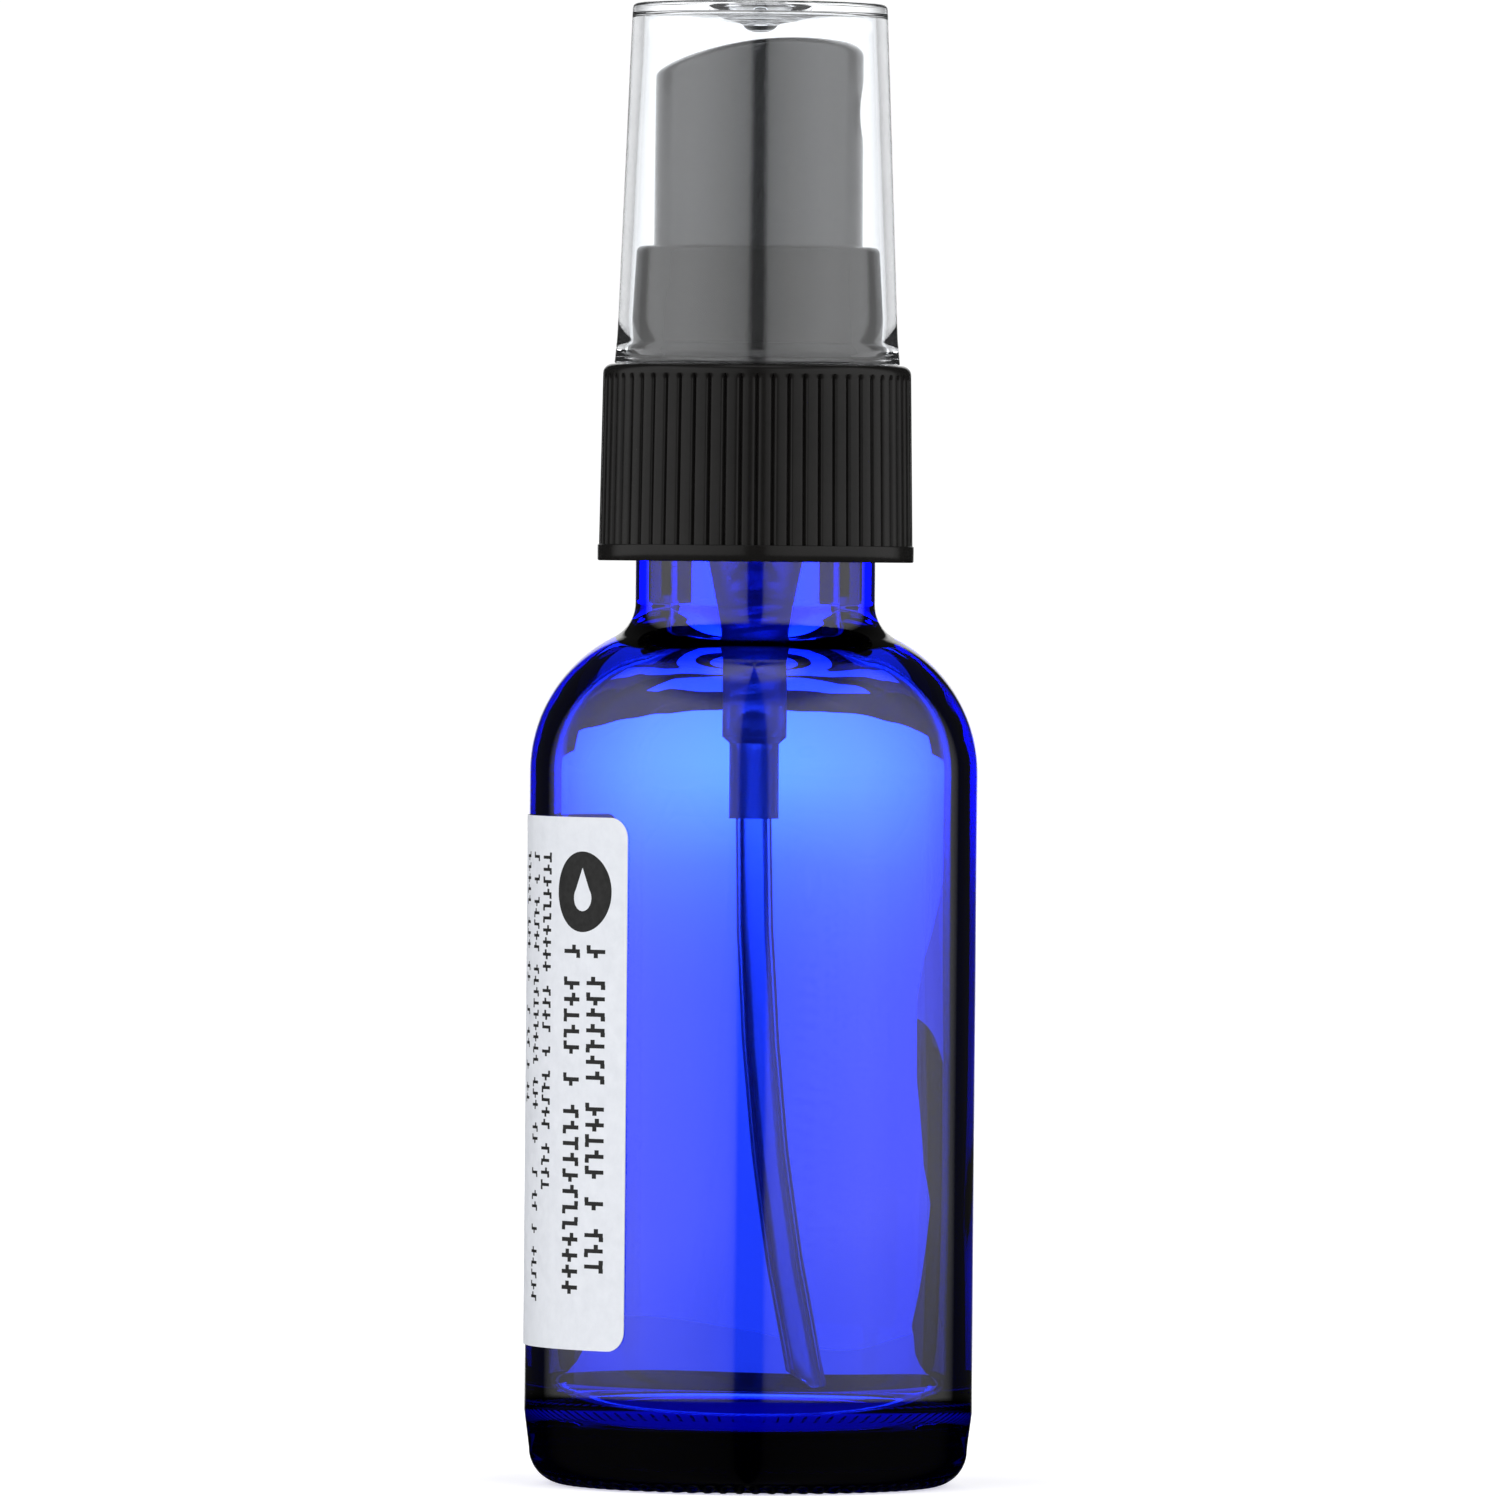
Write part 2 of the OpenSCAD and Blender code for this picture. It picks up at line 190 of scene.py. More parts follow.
def lathe(name, rows, segments, warp=None, ring=False, sharp=32.0):
    """Revolves (radius, height, tag) rows, in mm, about Z. warp may move each point."""
    verts, rings = [], []
    for row in rows:
        r, z = row[0], row[1]
        if r < 1e-6:
            rings.append([len(verts)])
            verts.append((0.0, 0.0, z * MM))
            continue
        rings.append(list(range(len(verts), len(verts) + segments)))
        for k in range(segments):
            a = TAU * k / segments
            rr, zz = warp(row, a) if warp else (r, z)
            verts.append((rr * math.cos(a) * MM, rr * math.sin(a) * MM, zz * MM))
    faces = []
    pairs = list(zip(rings, rings[1:]))
    if ring:
        pairs.append((rings[-1], rings[0]))
    for low, high in pairs:
        for k in range(segments):
            n = (k + 1) % segments
            if len(low) == 1 and len(high) == 1:
                break
            if len(low) == 1:
                faces.append((low[0], high[n], high[k]))
            elif len(high) == 1:
                faces.append((low[k], low[n], high[0]))
            else:
                faces.append((low[k], low[n], high[n], high[k]))
    return build(name, verts, faces, sharp)


def tagged(points, tag=""):
    return [(p[0], p[1], tag) for p in points]


def sweep(name, path, radius, sides):
    """A round wire along a path in mm, closed at both ends."""
    verts, faces = [], []
    count = len(path)
    for i, p in enumerate(path):
        t = (path[min(i + 1, count - 1)] - path[max(i - 1, 0)]).normalized()
        side = Vector((p.x, p.y, 0)).normalized()
        side = (side - t * side.dot(t)).normalized()
        up = t.cross(side)
        for k in range(sides):
            a = TAU * k / sides
            verts.append((p + side * radius * math.cos(a) + up * radius * math.sin(a)) * MM)
    for i in range(count - 1):
        for k in range(sides):
            n = (k + 1) % sides
            a, b = i * sides, (i + 1) * sides
            faces.append((a + k, a + n, b + n, b + k))
    for base, end in ((0, path[0]), ((count - 1) * sides, path[-1])):
        middle = len(verts)
        verts.append(end * MM)
        faces += [(base + k, base + (k + 1) % sides, middle) for k in range(sides)]
    return build(name, verts, faces, 40.0)


def cut(obj, tool, operation):
    """Applies an exact boolean and removes the tool."""
    mod = obj.modifiers.new("cut", "BOOLEAN")
    mod.operation, mod.solver, mod.object = operation, "EXACT", tool
    bpy.context.view_layer.update()
    shape = obj.evaluated_get(bpy.context.evaluated_depsgraph_get())
    mesh = bpy.data.meshes.new_from_object(shape)
    obj.modifiers.clear()
    obj.data = mesh
    bpy.data.objects.remove(tool)


def finish_piece(obj, look, body, slot, *nodes):
    obj.data.materials.clear()
    obj.data.materials.append(look.mat)
    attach(obj, body)
    if nodes:
        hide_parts(*nodes)


# ---------------------------------------------------------------- sizes, in mm, as in the CAD
body_r, neck_r, mouth_r = 16.35, 8.75, 6.2
bottle_h = 78.9
body_wall, floor_t, floor_rise, floor_corner = 1.75, 4.6, 1.0, 3.2
wall_in_r = body_r - body_wall
heel_r, bearing_out, bearing_in, punt_h, panel_z = 2.65, 13.35, 11.2, 1.3, 5.4
shoulder_r, shoulder_z = 11.0, 52.0
shoulder_x = body_r - shoulder_r
throat_r, throat_in_r = 2.8, 3.5
lip_out, lip_in = 0.8, 0.6
pitch, thread_crest = 3.175, 9.85
thread_total = math.radians(420)
thread_top = bottle_h - 1.95
thread_low = thread_top - pitch * 420 / 360
closure_bore, closure_crest = 10.15, 9.0
flange_z = 79.75
deck_z, closure_top, closure_bottom, deck_top = 80.75, 81.75, 67.4, 82.3
turret_top = 90.35
rim_r, rim_h, rib_count = 11.55, 1.2, 60
cage_top, rod_collar = 57.15, 65.95
button_r, button_top_r, button_z = 7.65, 7.55, 88.35
crown_r, crown_x, crown_z = 24.5, 2.9, 105.5
nozzle_z, dish_r, dish_x = 100.2, 2.35, 6.9
cap_z, cap_top, cap_r, cap_top_r, cap_wall = 81.8, 108.1, 10.43, 9.32, 0.85


def blend_centre(r, x, f):
    """Centre of a round of radius f that meets an upright wall at x and the shoulder's round r."""
    return x + f, shoulder_z + math.sqrt((r + f) ** 2 - (x + f - shoulder_x) ** 2)


def thread_height(a, z, low, total, half_base, half_crest):
    """How far a point at angle a and height z lies up a thread's flank, from 0 to 1."""
    best = 0.0
    for turn in (0, 1):
        at = a + TAU * turn
        if at > total:
            continue
        fade = smooth(min(at, total - at) / math.radians(34))
        off = abs(z - (low + pitch * at / TAU))
        flank = 1 - smooth((off - half_crest) / (half_base - half_crest))
        best = max(best, flank * fade)
    return best


# ---------------------------------------------------------------- glass bottle
def bottle_rows():
    throat = blend_centre(shoulder_r, neck_r, throat_r)
    a_out = math.degrees(math.atan2(throat[1] - shoulder_z, throat[0] - shoulder_x))
    in_r = shoulder_r - body_wall
    throat_in = blend_centre(in_r, mouth_r, throat_in_r)
    a_in = math.degrees(math.atan2(throat_in[1] - shoulder_z, throat_in[0] - shoulder_x))
    corner = wall_in_r - floor_corner
    rows = tagged([(bearing_in * i / 12, punt_h * (1 - (i / 12) ** 2)) for i in range(12)], "punt")
    rows += tagged(line((bearing_in, 0), (12.0, 0), 0.4))
    rows += tagged(line((12.0, 0), (bearing_out, 0), 0.2), "knurl")
    rows += tagged(arc(bearing_out, heel_r, heel_r, -90, 0, 22), "knurl")
    rows += tagged(line((15.99, heel_r), (body_r, panel_z), 0.7)[1:], "wall")
    rows += tagged(line((body_r, panel_z), (body_r, shoulder_z), 1.5), "wall")
    rows += tagged(arc(shoulder_x, shoulder_z, shoulder_r, 0, a_out, 30), "wall")
    rows += tagged(arc(*throat, throat_r, 180 + a_out, 180, 10)[1:])
    rows += tagged(line((neck_r, throat[1] + 0.5), (neck_r, thread_low - 1.6), 1.0))
    rows += tagged(line((neck_r, thread_low - 1.6), (neck_r, bottle_h - lip_out), 0.15), "thread")
    rows += tagged(arc(neck_r - lip_out, bottle_h - lip_out, lip_out, 0, 90, 8))
    rows += tagged(arc(mouth_r + lip_in, bottle_h - lip_in, lip_in, 90, 180, 7))
    rows += tagged(line((mouth_r, bottle_h - lip_in - 1), (mouth_r, throat_in[1]), 1.0), "bore")
    rows += tagged(arc(*throat_in, throat_in_r, 180, 180 + a_in, 10), "bore")
    rows += tagged(arc(shoulder_x, shoulder_z, in_r, a_in, 0, 24)[1:], "inside")
    rows += tagged(line((wall_in_r, shoulder_z), (wall_in_r, floor_t + floor_corner), 1.5)[1:], "inside")
    rows += tagged(arc(corner, floor_t + floor_corner, floor_corner, 0, -90, 12), "inside")
    for i in range(11, -1, -1):
        f = i / 12
        rows.append((corner * f, floor_t + floor_rise * (1 - f * f), "inside"))
    return rows


def bottle_warp(row, a):
    """Thread, knurls, and the gentle ripples of blown glass."""
    r, z, tag = row
    x, y = math.cos(a), math.sin(a)
    if tag == "thread":
        up = thread_height(a, z, thread_low, thread_total, 1.0, 0.35)
        return r + (thread_crest - neck_r) * up, z
    if tag == "knurl":
        window = smooth((r - 12.1) / 0.5) * smooth((0.75 - z) / 0.5)
        notch = (0.5 + 0.5 * math.cos(72 * a)) ** 2
        return r, z + 0.3 * notch * window
    if tag == "wall":
        ripple = noise.noise(Vector((x * 1.6, y * 1.6, z * 0.07)))
        return r + 0.018 * ripple, z
    if tag == "inside":
        wave = noise.noise(Vector((x * 1.3 + 5, y * 1.3, z * 0.05)))
        fine = noise.noise(Vector((x * 5 + 9, y * 5, z * 0.3)))
        share = smooth(r / 4)
        high = smooth((z - shoulder_z) / 4)
        return r + (0.10 * wave + 0.012 * fine * high) * share, z
    return r, z


bottle = lathe("bottle", bottle_rows(), 576, bottle_warp, sharp=50)

glass = Look("cobalt_glass")
swirl = glass.noise(90, 4, 0.55, glass.stretched(1, 1, 0.35))
glass.set(
    Base_Color=glass.ramp(swirl, [(0.25, (0.955, 0.97, 1.0)), (0.75, (0.985, 0.99, 1.0))]),
    Roughness=glass.remap(glass.noise(260, 5, 0.6), 0.45, 0.8, 0.0, 0.012),
)
glass.bsdf.inputs["Transmission Weight"].default_value = 1.0
glass.bsdf.inputs["IOR"].default_value = 1.52
glass.bump(glass.noise(55, 2, 0.4, glass.stretched(1, 1, 0.5)), 0.00004, 0.5)
tint = glass.new("ShaderNodeVolumeAbsorption")
tint.inputs["Color"].default_value = (0.06, 0.32, 0.932, 1.0)
tint.inputs["Density"].default_value = 1400.0
glass.join(tint.outputs[0], glass.out.inputs["Volume"])
finish_piece(bottle, glass, "bottle", "bottle_glass", "glass_bottle")


# ---------------------------------------------------------------- label
LABEL_W, LABEL_H, LABEL_CORNER = 30.0, 38.6, 1.5
LABEL_Z, LABEL_R, LABEL_T = 10.2, body_r + 0.035, 0.09
LABEL_EDGE = math.radians(236.6)


def label_mesh():
    """A wrapped sheet with rounded corners; UV is (distance from its front edge, height) / 40 mm."""
    spans = [LABEL_CORNER * (1 - math.cos(math.radians(9 * i))) for i in range(10)]
    inner = [LABEL_CORNER + (LABEL_W - 2 * LABEL_CORNER) * i / 60 for i in range(61)]
    columns = spans + inner + [LABEL_W - s for s in reversed(spans)]
    count = 28
    verts, uvs, faces = [], [], []
    for side in (0, 1):
        for u in columns:
            near = max(0.0, LABEL_CORNER - min(u, LABEL_W - u))
            inset = LABEL_CORNER - math.sqrt(max(0.0, LABEL_CORNER**2 - near**2))
            a = LABEL_EDGE - u / LABEL_R
            for j in range(count + 1):
                v = inset + (LABEL_H - 2 * inset) * j / count
                r = (LABEL_R + LABEL_T * side) * MM
                verts.append((r * math.cos(a), r * math.sin(a), (LABEL_Z + v) * MM))
                uvs.append((u / 40, v / 40))
    wide, high = len(columns), count + 1
    back = wide * high
    for i in range(wide - 1):
        for j in range(count):
            q = (i * high + j, i * high + j + 1, (i + 1) * high + j + 1, (i + 1) * high + j)
            faces.append(q)
            faces.append(tuple(back + k for k in reversed(q)))
    rim = [i * high for i in range(wide)] + [(wide - 1) * high + j for j in range(1, high)]
    rim += [i * high + count for i in range(wide - 2, -1, -1)] + [j for j in range(count - 1, 0, -1)]
    for k, p in enumerate(rim):
        q = rim[(k + 1) % len(rim)]
        faces.append((p, q, back + q, back + p))
    obj = build("label", verts, faces)
    layer = obj.data.uv_layers.new(name="sheet")
    for loop in obj.data.loops:
        layer.data[loop.index].uv = uvs[loop.vertex_index]
    return obj


label = label_mesh()
paper = Look("label_paper")
split = paper.new("ShaderNodeSeparateXYZ")
paper.join(paper.coord.outputs["UV"], split.inputs[0])
u_mm = paper.math("MULTIPLY", split.outputs[0], 40.0)
v_mm = paper.math("MULTIPLY", split.outputs[1], 40.0)


def between(value, lo, hi):
    mid, half = (lo + hi) / 2, (hi - lo) / 2
    return paper.math("LESS_THAN", paper.math("ABSOLUTE", paper.math("SUBTRACT", value, mid)), half)


def within(across, along, radius):
    """1 inside a circle about the origin of the two lengths."""
    squares = paper.math("ADD", paper.math("MULTIPLY", across, across), paper.math("MULTIPLY", along, along))
    return paper.math("LESS_THAN", paper.math("SQRT", squares), radius)


def tick(part, rise, lo, hi, dice, choices):
    """A short stroke beside the stem, at one of a few heights."""
    pick = paper.math("FLOOR", paper.math("MULTIPLY", dice, choices - 0.01))
    at = paper.remap(pick, 0, choices - 1, 0.10, 0.90)
    level = paper.math("LESS_THAN", paper.math("ABSOLUTE", paper.math("SUBTRACT", rise, at)), 0.115)
    return paper.math("MULTIPLY", between(part, lo, hi), level)


def greeked_line(centre, height, top, letters, pitch_, seed):
    """Made-up strokes that run down the label, each a stem with a tick at both sides, grouped like words."""
    cell = paper.math("DIVIDE", paper.math("SUBTRACT", top, v_mm), pitch_)
    index = paper.math("FLOOR", cell)
    part = paper.math("FRACT", cell)
    rise = paper.math("DIVIDE", paper.math("SUBTRACT", u_mm, centre - height / 2), height)
    dice = paper.new("ShaderNodeTexWhiteNoise", noise_dimensions="1D")
    paper.join(paper.math("ADD", index, seed), dice.inputs["W"])
    rolls = paper.new("ShaderNodeSeparateColor")
    paper.join(dice.outputs["Color"], rolls.inputs[0])
    stem = paper.math("MULTIPLY", between(part, 0.32, 0.58), between(rise, 0.0, 1.0))
    left = tick(part, rise, 0.04, 0.33, rolls.outputs[0], 4)
    right = tick(part, rise, 0.57, 0.86, rolls.outputs[1], 3)
    strokes = paper.math("MAXIMUM", stem, paper.math("MAXIMUM", left, right))
    word = paper.math("GREATER_THAN", dice.outputs["Value"], 0.17)
    return paper.math("MULTIPLY", paper.math("MULTIPLY", strokes, word), between(cell, 0.0, letters))


# centre, height, top (mm), letters, pitch (mm) and seed of each line
LINES = [
    (2.85, 1.85, 29.4, 21, 1.14, 3), (5.45, 1.85, 29.4, 23, 1.16, 11), (9.0, 1.4, 36.0, 28, 0.88, 23),
    (11.1, 1.25, 36.0, 40, 0.82, 37), (13.5, 1.25, 36.0, 23, 0.80, 51), (17.0, 0.8, 36.0, 53, 0.6, 67),
    (18.6, 0.8, 36.0, 50, 0.6, 79), (20.2, 0.8, 36.0, 45, 0.6, 91), (21.8, 0.8, 36.0, 53, 0.6, 103),
    (23.4, 0.8, 36.0, 35, 0.6, 117), (26.6, 1.0, 36.0, 34, 0.7, 131),
]
ink = greeked_line(*LINES[0])
for row in LINES[1:]:
    ink = paper.math("MAXIMUM", ink, greeked_line(*row))
# a plain mark: a dark disc with a light drop in it
du = paper.math("SUBTRACT", u_mm, 4.3)
dv = paper.math("SUBTRACT", v_mm, 33.2)
disc = within(du, dv, 2.92)
ball = within(du, paper.math("ADD", dv, 0.45), 0.95)
slope = paper.math("MULTIPLY", paper.math("SUBTRACT", 1.75, dv), 0.46)
taper = paper.math("LESS_THAN", paper.math("ABSOLUTE", du), slope)
cone = paper.math("MULTIPLY", taper, between(dv, -0.1, 1.75))
mark = paper.math("SUBTRACT", disc, paper.math("MULTIPLY", disc, paper.math("MAXIMUM", ball, cone)))
ink = paper.math("MAXIMUM", ink, mark)
fibre = paper.noise(900, 6, 0.65)
sheet_colour = paper.ramp(fibre, [(0.3, (0.60, 0.62, 0.66)), (0.7, (0.66, 0.68, 0.72))])
ink_colour = paper.ramp(paper.noise(2500, 3), [(0.3, (0.006, 0.006, 0.006)), (0.8, (0.016, 0.016, 0.016))])
paper.set(
    Base_Color=paper.mix(ink, sheet_colour, ink_colour),
    Roughness=paper.remap(fibre, 0.3, 0.7, 0.38, 0.5),
)
paper.bsdf.inputs["Specular IOR Level"].default_value = 0.25
paper.bump(fibre, 0.000006, 0.4)
finish_piece(label, paper, "bottle", "label_paper", "paper_label")


# ---------------------------------------------------------------- closure
def closure_rows():
    rib_z = closure_bottom + rim_h
    top_r, edge = rim_r - 0.3, 0.7
    rows = tagged([(closure_bore, closure_bottom + 0.3), (closure_bore + 0.3, closure_bottom)])
    rows += tagged([(rim_r - 0.22, closure_bottom)])
    rows += tagged(arc(rim_r - 0.15, closure_bottom + 0.15, 0.15, -90, 0, 4))
    rows += tagged(arc(rim_r - 0.1, rib_z - 0.1, 0.1, 0, 90, 3))
    rows += tagged(line((rim_r - 0.1, rib_z), (top_r + 0.03, closure_top - 2.4), 2.0), "rib")
    rows += tagged(line((top_r + 0.03, closure_top - 2.4), (top_r, closure_top - edge), 0.09), "rib")
    rows += tagged(arc(top_r - edge, closure_top - edge, edge, 0, 90, 9), "rib")
    rows += tagged([(9.6, closure_top)])
    rows += tagged(arc(9.6, closure_top + 0.15, 0.15, -90, -180, 3))
    rows += tagged([(9.45, closure_top + 0.5), (9.49, closure_top + 0.62), (9.52, closure_top + 0.75)])
    rows += tagged([(9.49, closure_top + 0.88), (9.45, closure_top + 1.0), (9.45, closure_top + 1.4)])
    rows += tagged([(9.38, closure_top + 1.5), (9.27, closure_top + 1.6)])
    rows += tagged(line((9.25, closure_top + 1.8), (8.88, turret_top - 0.45), 2.0))
    rows += tagged(arc(8.43, turret_top - 0.45, 0.45, 0, 90, 8))
    rows += tagged(arc(8.0, turret_top - 0.15, 0.15, 90, 180, 4))
    rows += tagged([(7.85, deck_top), (5.95, deck_top), (5.95, deck_z), (closure_bore, deck_z)])
    rows += tagged(line((closure_bore, 77.0), (closure_bore, 70.2), 0.16), "thread")
    rows += tagged([(closure_bore, 68.5)])
    return rows


def closure_warp(row, a):
    r, z, tag = row
    if tag == "rib":
        turn = a * rib_count / TAU
        u = (turn - math.floor(turn) - 0.5) * TAU * r / rib_count
        half = 0.5 * TAU * r / rib_count
        away = half - abs(u)                   # distance from the middle of the groove
        end = closure_top - 0.78
        width = 0.20 * math.sqrt(max(0.0, 1 - max(0.0, (z - end + 0.34) / 0.34) ** 2))
        sag = 0.72 - math.sqrt(0.72**2 - min(abs(u), 0.6) ** 2)
        groove = 0.24 * (1 - smooth(away / max(width, 1e-3))) if width > 0.01 else 0.0
        round_off = sag * smooth((end + 0.2 - z) / 0.5)
        return r - 0.25 * round_off - groove, z
    if tag == "thread":
        low = thread_low - pitch / 2 + 0.12
        up = thread_height(a, z, low, thread_total, 1.0, 0.35)
        return r - (closure_bore - closure_crest) * up, z
    return r, z


closure = lathe("ribbed_closure", closure_rows(), 900, closure_warp, ring=True, sharp=40)
black = Look("black_closure")
grain = black.noise(2600, 5, 0.6)
cloud = black.noise(140, 3, 0.5)
height = black.new("ShaderNodeSeparateXYZ")
black.join(black.coord.outputs["Object"], height.inputs[0])
# the rim and the collar are polished, the ribs are not
rib_foot = closure_bottom + rim_h
over_rim = black.remap(height.outputs[2], (rib_foot - 0.1) * MM, (rib_foot + 0.1) * MM, 0, 1)
on_ribs = black.math("MULTIPLY", over_rim, black.remap(height.outputs[2], 81.4 * MM, 81.9 * MM, 1, 0))
polish = black.remap(on_ribs, 0, 1, 0.10, 0.16)
black.set(
    Base_Color=black.ramp(cloud, [(0.3, (0.0055, 0.0052, 0.0050)), (0.7, (0.0085, 0.0080, 0.0076))]),
    Roughness=black.math("ADD", black.remap(grain, 0.3, 0.7, 0.0, 0.06), polish),
)
black.bsdf.inputs["Specular IOR Level"].default_value = 0.14
black.bump(grain, 0.000006, 0.5)
finish_piece(closure, black, "closure", "closure_plastic", "closure")


# ---------------------------------------------------------------- overcap
def overcap_rows():
    edge, inside = 0.4, cap_top - 0.75
    rows = tagged([(cap_r - cap_wall, cap_z + 0.25), (cap_r - cap_wall + 0.1, cap_z), (cap_r - 0.12, cap_z)])
    rows += tagged(arc(cap_r - 0.1, cap_z + 0.1, 0.1, -90, 0, 4))
    rows += tagged([(cap_r - 0.05, cap_z + 0.6), (cap_r - 0.11, cap_z + 1.2), (cap_r - 0.17, cap_z + 1.9)])
    rows += tagged(line((cap_r - 0.20, cap_z + 2.5), (cap_top_r, cap_top - edge), 1.5))
    rows += tagged(arc(cap_top_r - edge, cap_top - edge, edge, 0, 90, 8))
    rows += tagged([(7.6, cap_top - 0.01), (6.4, cap_top - 0.05), (5.6, cap_top - 0.12)])
    rows += tagged([(4.4, cap_top - 0.25), (3.3, cap_top - 0.38), (2.6, cap_top - 0.5)])
    rows += tagged(arc(2.3, cap_top - 0.8, 0.2, 45, -90, 5)[1:])
    rows += tagged([(1.2, cap_top - 1.02), (0.55, cap_top - 1.0), (0.42, cap_top - 0.8)])
    rows += tagged([(0.3, cap_top - 0.74), (0.0, cap_top - 0.74)])
    rows += tagged([(0.0, cap_top - 2.1), (0.5, cap_top - 2.08), (0.9, cap_top - 1.98)])
    rows += tagged([(1.15, cap_top - 1.8), (1.3, cap_top - 1.62), (1.6, cap_top - 1.55), (2.4, cap_top - 1.45)])
    rows += tagged([(3.6, cap_top - 1.26), (4.8, cap_top - 1.08), (6.0, cap_top - 0.93), (7.4, cap_top - 0.8)])
    rows += tagged([(8.0, inside)])
    rows += tagged(arc(cap_top_r - cap_wall - edge, inside - edge, edge, 90, 0, 8))
    rows += tagged(line((cap_top_r - cap_wall, inside - edge - 0.5), (cap_r - cap_wall - 0.05, cap_z + 1.8), 1.5))
    rows += tagged([(cap_r - cap_wall - 0.02, cap_z + 1.6), (cap_r - cap_wall + 0.08, cap_z + 1.4)])
    rows += tagged([(cap_r - cap_wall + 0.08, cap_z + 0.5)])
    return rows


def overcap_warp(row, a):
    r, z, _ = row
    share = smooth(r / 5)
    wave = noise.noise(Vector((math.cos(a) * 1.5, math.sin(a) * 1.5, z * 0.12 + (3 if r < 9 else 0))))
    return r + 0.012 * wave * share, z


overcap = lathe("clear_overcap", overcap_rows(), 256, overcap_warp, ring=True, sharp=38)
clear = Look("clear_cap")
haze = clear.noise(300, 5, 0.6)
scratch = clear.noise(420, 2, 0.5, clear.stretched(1.0, 1.0, 0.03), 0.4)
fine = clear.noise(700, 3, 0.5, clear.stretched(0.06, 1.0, 1.0))
marks = clear.math("MULTIPLY", clear.remap(scratch, 0.62, 0.70, 0, 1), clear.remap(fine, 0.55, 0.7, 0, 1))
rough = clear.remap(haze, 0.3, 0.7, 0.008, 0.02)
clear.set(
    Base_Color=clear.ramp(haze, [(0.3, (0.945, 0.962, 0.984)), (0.7, (0.962, 0.978, 0.996))]),
    Roughness=clear.math("ADD", rough, clear.math("MULTIPLY", marks, 0.25)),
)
clear.bsdf.inputs["Transmission Weight"].default_value = 0.988
clear.bsdf.inputs["IOR"].default_value = 1.49
clear.bump(clear.math("ADD", clear.noise(120, 2, 0.4), clear.math("MULTIPLY", marks, -0.3)), 0.00003, 0.6)
finish_piece(overcap, clear, "overcap", "cap_plastic", "overcap")


# ---------------------------------------------------------------- button
def crown_height(x, drop=0.0):
    return crown_z - crown_r + math.sqrt((crown_r - drop) ** 2 - (x - crown_x) ** 2)


def wall_radius(z):
    """The button's outside radius at height z."""
    return button_r + (button_top_r - button_r) * (z - button_z) / (crown_z + 1 - button_z)


def button_shell():
    """Wall, rounded top edge, sloping crown, and the hollow under it."""
    segments, fillet, wall = 192, 1.0, 1.0
    rings = []

    def ring_at(radius, height):
        ring = []
        for k in range(segments):
            a = TAU * k / segments
            r = radius(a)
            ring.append((r * math.cos(a), r * math.sin(a), height(a, r)))
        rings.append(ring)

    def edge_z(a):
        return crown_height((button_top_r - fillet) * math.cos(a)) - fillet

    def blend(a, r):
        return crown_height(r * math.cos(a)) - crown_height((button_top_r - fillet) * math.cos(a))

    ring_at(lambda a: button_r - 0.15, lambda a, r: button_z)
    ring_at(lambda a: button_r, lambda a, r: button_z + 0.15)
    for i in range(1, 9):
        share = i / 8
        ring_at(
            lambda a, s=share: wall_radius(button_z + (edge_z(a) - button_z) * s),
            lambda a, r, s=share: button_z + 0.15 + (edge_z(a) - button_z - 0.15) * s,
        )
    for i in range(1, 9):
        t = math.radians(90 * i / 8)
        ring_at(
            lambda a, t=t: wall_radius(edge_z(a)) - fillet * (1 - math.cos(t)),
            lambda a, r, t=t: edge_z(a) + fillet * math.sin(t) + blend(a, r) * math.sin(t) ** 2,
        )
    for i in range(1, 14):
        s = 1 - i / 14
        ring_at(lambda a, s=s: (button_top_r - fillet) * s, lambda a, r: crown_height(r * math.cos(a)))
    top = len(rings)
    for i in range(1, 12):
        s = i / 12
        ring_at(lambda a, s=s: (button_top_r - wall - 0.5) * s, lambda a, r: crown_height(r * math.cos(a), 1.3))
    ring_at(lambda a: button_top_r - wall, lambda a, r: crown_height(r * math.cos(a), 1.3) - 0.5)
    for i in range(1, 7):
        s = 1 - i / 7
        ring_at(
            lambda a: button_top_r - wall,
            lambda a, r, s=s: button_z + (crown_height(r * math.cos(a), 1.3) - 0.5 - button_z) * s,
        )
    ring_at(lambda a: button_top_r - wall, lambda a, r: button_z)
    verts = [Vector(p) * MM for ring in rings for p in ring]
    faces = []
    for i in range(len(rings) - 1):
        if i == top - 1:
            continue
        for k in range(segments):
            n = (k + 1) % segments
            faces.append((i * segments + k, i * segments + n, (i + 1) * segments + n, (i + 1) * segments + k))
    last = (len(rings) - 1) * segments
    for k in range(segments):
        n = (k + 1) % segments
        faces.append((last + k, last + n, n, k))
    for ring, height in ((top - 1, crown_height(0)), (top, crown_height(0, 1.3))):
        middle = len(verts)
        verts.append(Vector((0, 0, height)) * MM)
        base = ring * segments
        faces += [(base + k, base + (k + 1) % segments, middle) for k in range(segments)]
    return build("slant_button", verts, faces, 40)


def turned_x(name, rows, segments=96):
    """A lathed tool laid along X, with its axis at the nozzle's height."""
    tool = lathe(name, tagged(rows), segments)
    for v in tool.data.vertices:
        x, y, z = v.co
        v.co = (z, y, nozzle_z * MM - x)
    return tool


